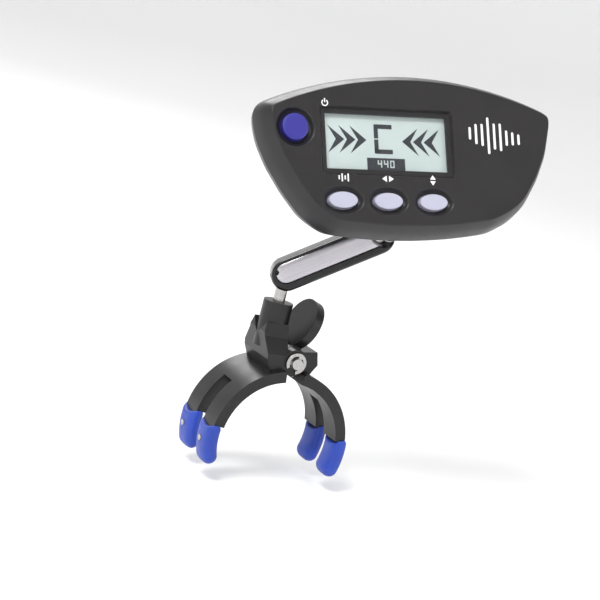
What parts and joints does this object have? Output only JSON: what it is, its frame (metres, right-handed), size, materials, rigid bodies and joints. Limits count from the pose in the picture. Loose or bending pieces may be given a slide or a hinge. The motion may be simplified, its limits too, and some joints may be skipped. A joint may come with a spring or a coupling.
{
  "type": "clip-on tuner",
  "caption": "Fan-shaped tuner head with display and buttons on a short ball-jointed arm, standing on a sprung clip with soft-tipped jaws.",
  "frame": {"origin": "middle of the gripped instrument body, halfway along the jaws", "axes": "+Y along the instrument, +Z from the instrument up through the clip's post, +X towards the paddle side"},
  "size_m": [0.0808, 0.0396, 0.1114],
  "materials": {
    "black_clip": "moulded, satin",
    "blue_rubber": "soft, matte",
    "steel": "bright turned steel",
    "black_gloss": "polished",
    "satin_metal": "satin, lengthwise brushing",
    "grey_cup": "moulded",
    "brass": "bright",
    "charcoal_case": "semi-gloss, fine grain",
    "clear_lens": "clear, polished",
    "display": "pale green-grey liquid crystal",
    "pink_rubber": "matte",
    "board_green": "lacquered",
    "dark_steel": "blackened",
    "blue_button": "satin",
    "grey_button": "soft satin"
  },
  "bodies": {
    "clip": {"post_lever": "black_clip", "post_side_pads": "blue_rubber", "post_side_studs": "steel", "hinge_pin": "steel", "front_e_clip": "steel", "rear_e_clip": "steel", "torsion_spring": "steel"},
    "paddle": {"paddle_lever": "black_clip", "paddle_side_pads": "blue_rubber", "paddle_side_studs": "steel"},
    "lower_stud": {"lower_ball_stud": "steel"},
    "arm": {"arm_channel": "black_gloss", "arm_face_plate": "satin_metal", "lower_ball_cup": "grey_cup", "upper_ball_cup": "grey_cup", "arm_rivets": "brass"},
    "upper_stud": {"upper_ball_stud": "steel", "upper_stud_ring": "steel"},
    "head": {"front_shell": "charcoal_case", "back_shell": "charcoal_case", "display_lens": "clear_lens", "display_glass": "display", "display_frame": "black_gloss", "contact_strips": "pink_rubber", "circuit_board": "board_green", "tuner_chip": "black_gloss", "switches": "steel", "piezo_disc": "brass", "coin_cell": "steel", "cell_contacts": "brass", "battery_cover": "charcoal_case", "battery_cover_screw": "dark_steel", "case_screws": "dark_steel"},
    "power_button": {"power_button": "blue_button"},
    "left_button": {"left_button": "grey_button"},
    "middle_button": {"middle_button": "grey_button"},
    "right_button": {"right_button": "grey_button"}
  },
  "joints": [
    {"name": "paddle_squeeze", "type": "hinge", "parent": "clip", "child": "paddle", "pos_m": [0, 0, 0.022], "axis": [0, -1, 0], "range_deg": [0, 17], "stiffness_Nm_per_rad": 0.3, "springref_deg": -28.65},
    {"name": "stud_swivel", "type": "hinge", "parent": "clip", "child": "lower_stud", "pos_m": [-0.0055, 0, 0.03], "axis": [0, 0, 1], "continuous": true},
    {"name": "arm_tilt", "type": "hinge", "parent": "lower_stud", "child": "arm", "pos_m": [-0.0055, 0, 0.044], "axis": [-0.3746, -0.9272, 0], "range_deg": [-25, 40]},
    {"name": "head_tilt", "type": "hinge", "parent": "arm", "child": "upper_stud", "pos_m": [0.014, -0.00788, 0.05928], "axis": [0.9794, -0.1029, 0.1736], "range_deg": [-18, 18]},
    {"name": "head_spin", "type": "hinge", "parent": "upper_stud", "child": "head", "pos_m": [0.014, -0.00788, 0.05928], "axis": [-0.1616, -0.9153, 0.3689], "continuous": true},
    {"name": "power_button_press", "type": "slide", "parent": "head", "child": "power_button", "axis": [0.1616, 0.9153, -0.3689], "range_m": [0, 0.0008], "stiffness_N_per_m": 800, "springref_m": -0.0005},
    {"name": "left_button_press", "type": "slide", "parent": "head", "child": "left_button", "axis": [0.1616, 0.9153, -0.3689], "range_m": [0, 0.0008], "stiffness_N_per_m": 800, "springref_m": -0.0005},
    {"name": "middle_button_press", "type": "slide", "parent": "head", "child": "middle_button", "axis": [0.1616, 0.9153, -0.3689], "range_m": [0, 0.0008], "stiffness_N_per_m": 800, "springref_m": -0.0005},
    {"name": "right_button_press", "type": "slide", "parent": "head", "child": "right_button", "axis": [0.1616, 0.9153, -0.3689], "range_m": [0, 0.0008], "stiffness_N_per_m": 800, "springref_m": -0.0005}
  ]
}
